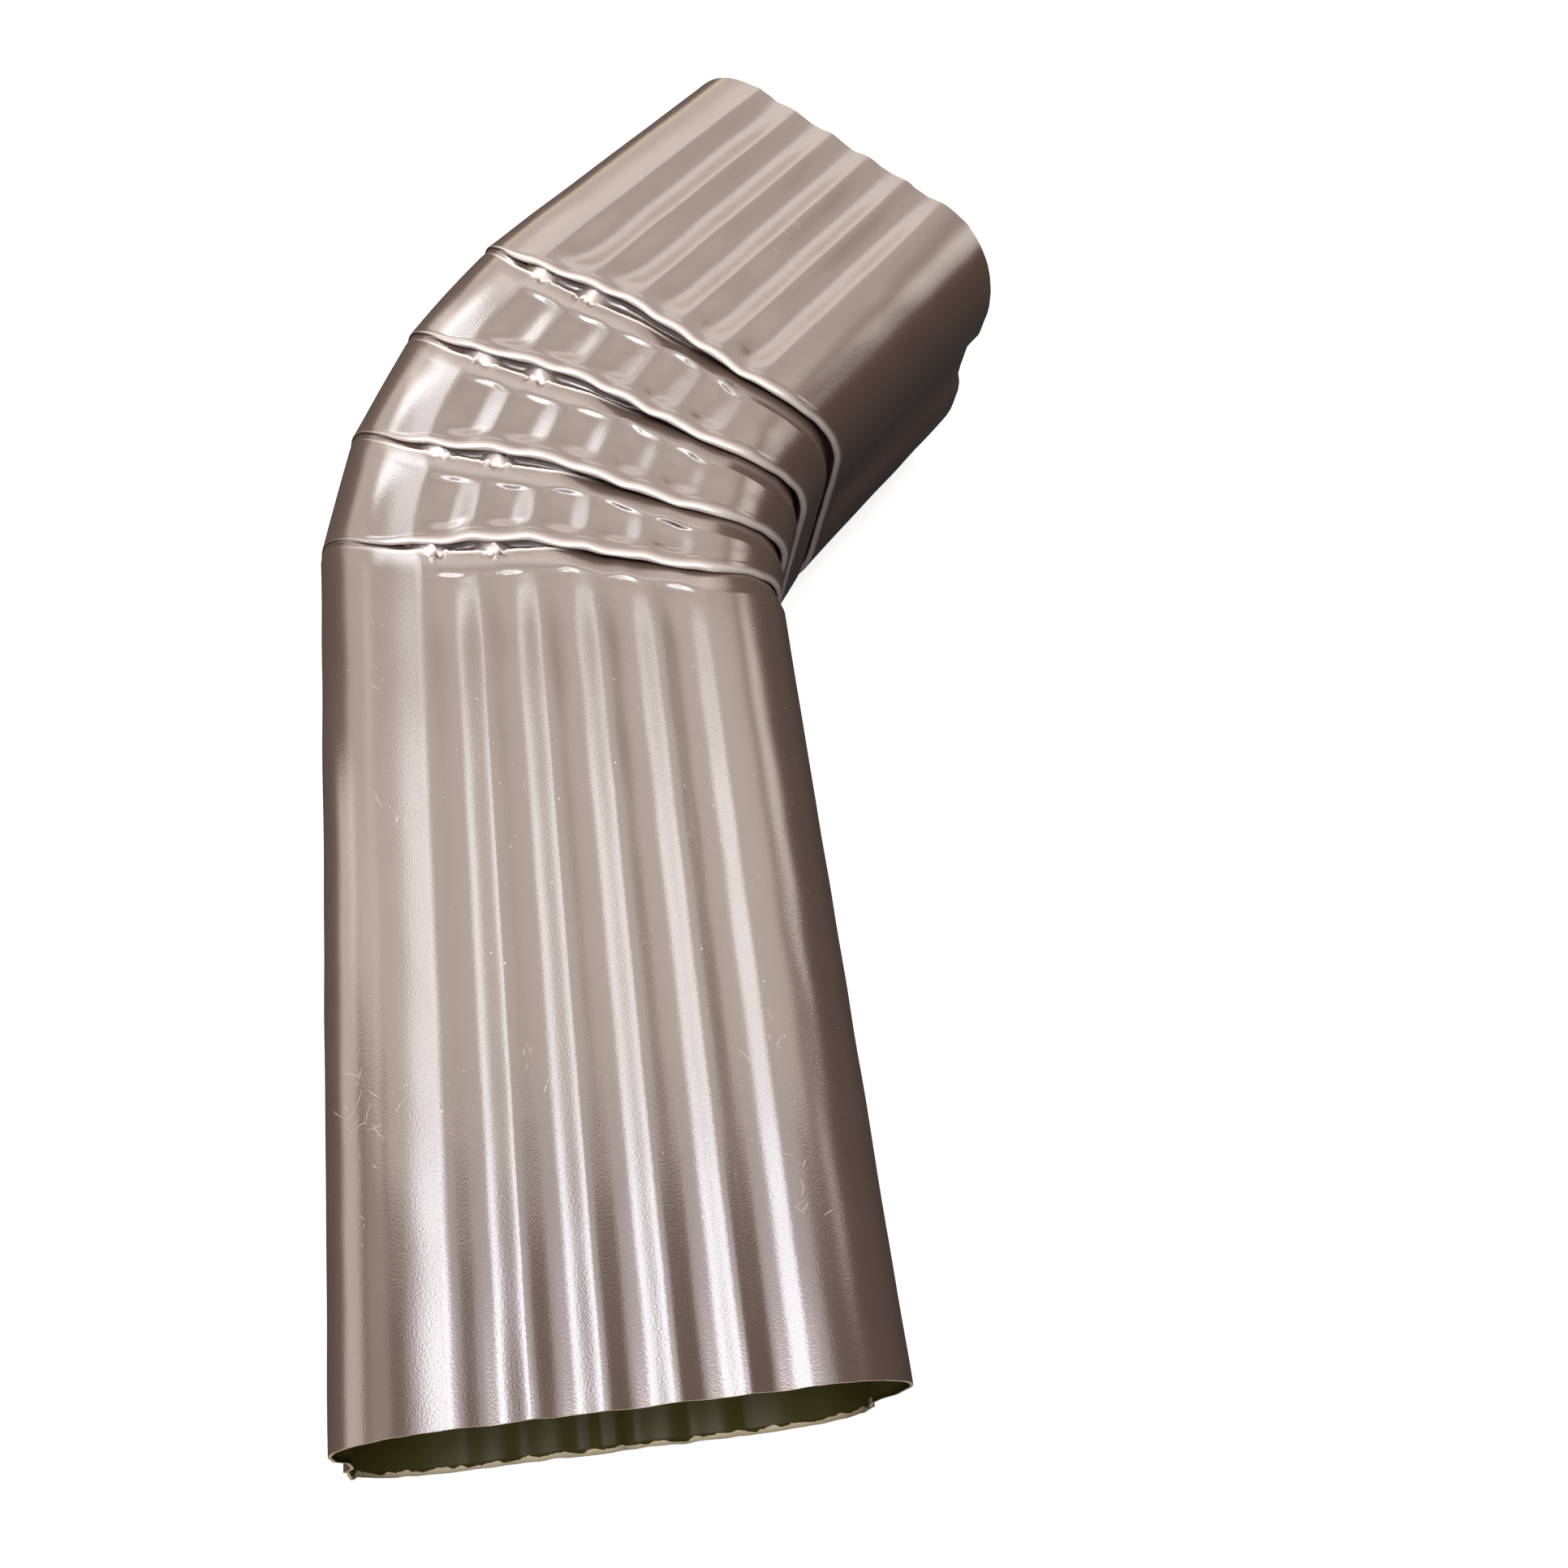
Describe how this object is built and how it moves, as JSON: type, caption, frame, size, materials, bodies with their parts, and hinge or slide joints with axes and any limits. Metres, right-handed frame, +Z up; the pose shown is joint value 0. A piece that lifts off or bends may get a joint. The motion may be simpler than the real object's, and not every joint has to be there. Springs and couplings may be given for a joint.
{
  "type": "downspout elbow",
  "caption": "Corrugated rectangular sheet-metal downspout elbow that turns water sideways through crimped pleats, open at both ends.",
  "frame": {"origin": "middle of the bounding box on the floor, with the part lying on its lower wide wall", "axes": "+Z up from the floor, +Y along the long leg towards the bend, +X the way the bend turns"},
  "size_m": [0.14, 0.278, 0.0609],
  "materials": {
    "painted_sheet": "semi-gloss"
  },
  "bodies": {
    "root": {"elbow": "painted_sheet"}
  },
  "joints": []
}
